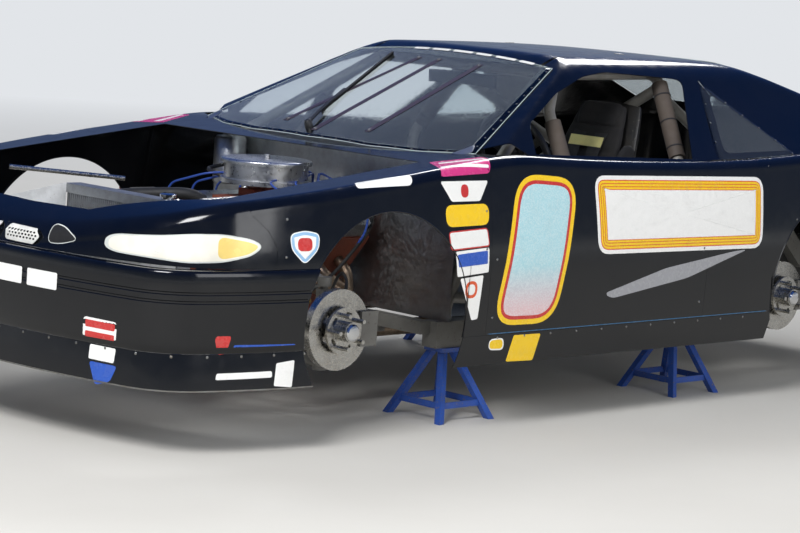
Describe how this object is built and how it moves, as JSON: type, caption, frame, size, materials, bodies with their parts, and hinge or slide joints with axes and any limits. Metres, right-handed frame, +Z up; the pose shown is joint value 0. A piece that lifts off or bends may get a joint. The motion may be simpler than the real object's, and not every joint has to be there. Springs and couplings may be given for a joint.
{
  "type": "two-door stock car without wheels or hood, on axle stands",
  "caption": "Race-prepared two-door stock car with its hood and wheels off, standing on blue axle stands, hubs, steering and rear lid movable.",
  "frame": {"origin": "On the ground under the centre of the car's bounding box.", "axes": "+X forward, +Y to the driver's side (left), +Z up."},
  "size_m": [4.8948, 1.924, 1.4015],
  "materials": {
    "body_paint": "glossy black acrylic enamel over sheet steel and moulded plastic",
    "frame_paint": "grey chassis enamel",
    "cage_paint": "grey enamel on round tube",
    "clear_sheet": "clear polycarbonate",
    "lamp_cover": "white lamp panel shading to pale amber",
    "grille_sheet": "white perforated sheet",
    "sheet_metal": "bare rolled sheet",
    "white_sheet": "white painted sheet",
    "cast_iron": "cast and painted",
    "bright_cover": "cast, polished",
    "exhaust_steel": "heat-tinted tube",
    "bare_steel": "turned and ground",
    "stand_paint": "blue enamel, chipped",
    "seat_cover": "dark padded cover",
    "black_plastic": "moulded and wrapped",
    "cell_skin": "black steel can"
  },
  "bodies": {
    "root": {"air_cleaner": "bright_cover", "air_dam": "body_paint", "air_duct": "white_sheet", "axle_stands": "stand_paint", "bulkheads": "sheet_metal", "bumper_cover": "body_paint", "cowl": "body_paint", "dash": "black_plastic", "door_left": "body_paint", "door_right": "body_paint", "driveshaft": "bare_steel", "engine": "cast_iron", "exhaust": "exhaust_steel", "fender_left": "body_paint", "fender_right": "body_paint", "floor_pan": "sheet_metal", "frame": "frame_paint", "fuel_cell": "cell_skin", "gearbox": "sheet_metal", "grille_mesh": "grille_sheet", "headlights": "lamp_cover", "nose_panel": "body_paint", "quarter_left": "body_paint", "quarter_right": "body_paint", "radiator": "sheet_metal", "rear_axle": "frame_paint", "rear_windows": "clear_sheet", "roll_cage": "cage_paint", "roof_shell": "body_paint", "seat": "seat_cover", "skirts": "body_paint", "springs": "frame_paint", "steering_column": "bare_steel", "suspension_arms": "frame_paint", "tail_cover": "body_paint", "valve_covers": "bright_cover", "windscreen": "clear_sheet"},
    "steer_left": {"knuckle_left": "bare_steel"},
    "steer_right": {"knuckle_right": "bare_steel"},
    "hub_fl": {"hub_front_left": "bare_steel"},
    "hub_fr": {"hub_front_right": "bare_steel"},
    "hub_rl": {"hub_rear_left": "bare_steel"},
    "hub_rr": {"hub_rear_right": "bare_steel"},
    "rack": {"steering_rack": "bare_steel"},
    "wheel": {"steering_wheel": "black_plastic"},
    "lid": {"decklid": "body_paint", "spoiler": "body_paint"}
  },
  "joints": [
    {"name": "steer_left_turn", "type": "hinge", "parent": "root", "child": "steer_left", "pos_m": [1.3975, 0.628, 0.381], "axis": [0, 0, 1], "range_deg": [-25, 25]},
    {"name": "steer_right_turn", "type": "hinge", "parent": "root", "child": "steer_right", "pos_m": [1.3975, -0.628, 0.381], "axis": [0, 0, 1], "range_deg": [-25, 25]},
    {"name": "rack_slide", "type": "slide", "parent": "root", "child": "rack", "axis": [0, 1, 0], "range_m": [-0.064, 0.064]},
    {"name": "wheel_turn", "type": "hinge", "parent": "root", "child": "wheel", "pos_m": [0.1625, 0.4, 0.967], "axis": [-0.9397, 0, 0.342], "range_deg": [-300, 300]},
    {"name": "hub_fl_spin", "type": "hinge", "parent": "steer_left", "child": "hub_fl", "pos_m": [1.3975, 0.748, 0.381], "axis": [0, 1, 0.0052], "continuous": true},
    {"name": "hub_fr_spin", "type": "hinge", "parent": "steer_right", "child": "hub_fr", "pos_m": [1.3975, -0.748, 0.381], "axis": [0, 1, -0.0052], "continuous": true},
    {"name": "hub_rl_spin", "type": "hinge", "parent": "root", "child": "hub_rl", "pos_m": [-1.26951, 0.748, 0.381], "axis": [0, 1, 0.0052], "continuous": true},
    {"name": "hub_rr_spin", "type": "hinge", "parent": "root", "child": "hub_rr", "pos_m": [-1.26951, -0.748, 0.381], "axis": [0, 1, -0.0052], "continuous": true},
    {"name": "lid_lift", "type": "hinge", "parent": "root", "child": "lid", "pos_m": [-2.0425, 0.38, 1.08358], "axis": [0, 1, 0], "range_deg": [0, 60]}
  ],
  "couplings": [
    {"joint": "steer_right_turn", "follows": "steer_left_turn", "ratio": 1},
    {"joint": "rack_slide", "follows": "steer_left_turn", "m_per_rad": 0.14528},
    {"joint": "wheel_turn", "follows": "steer_left_turn", "ratio": 12}
  ]
}
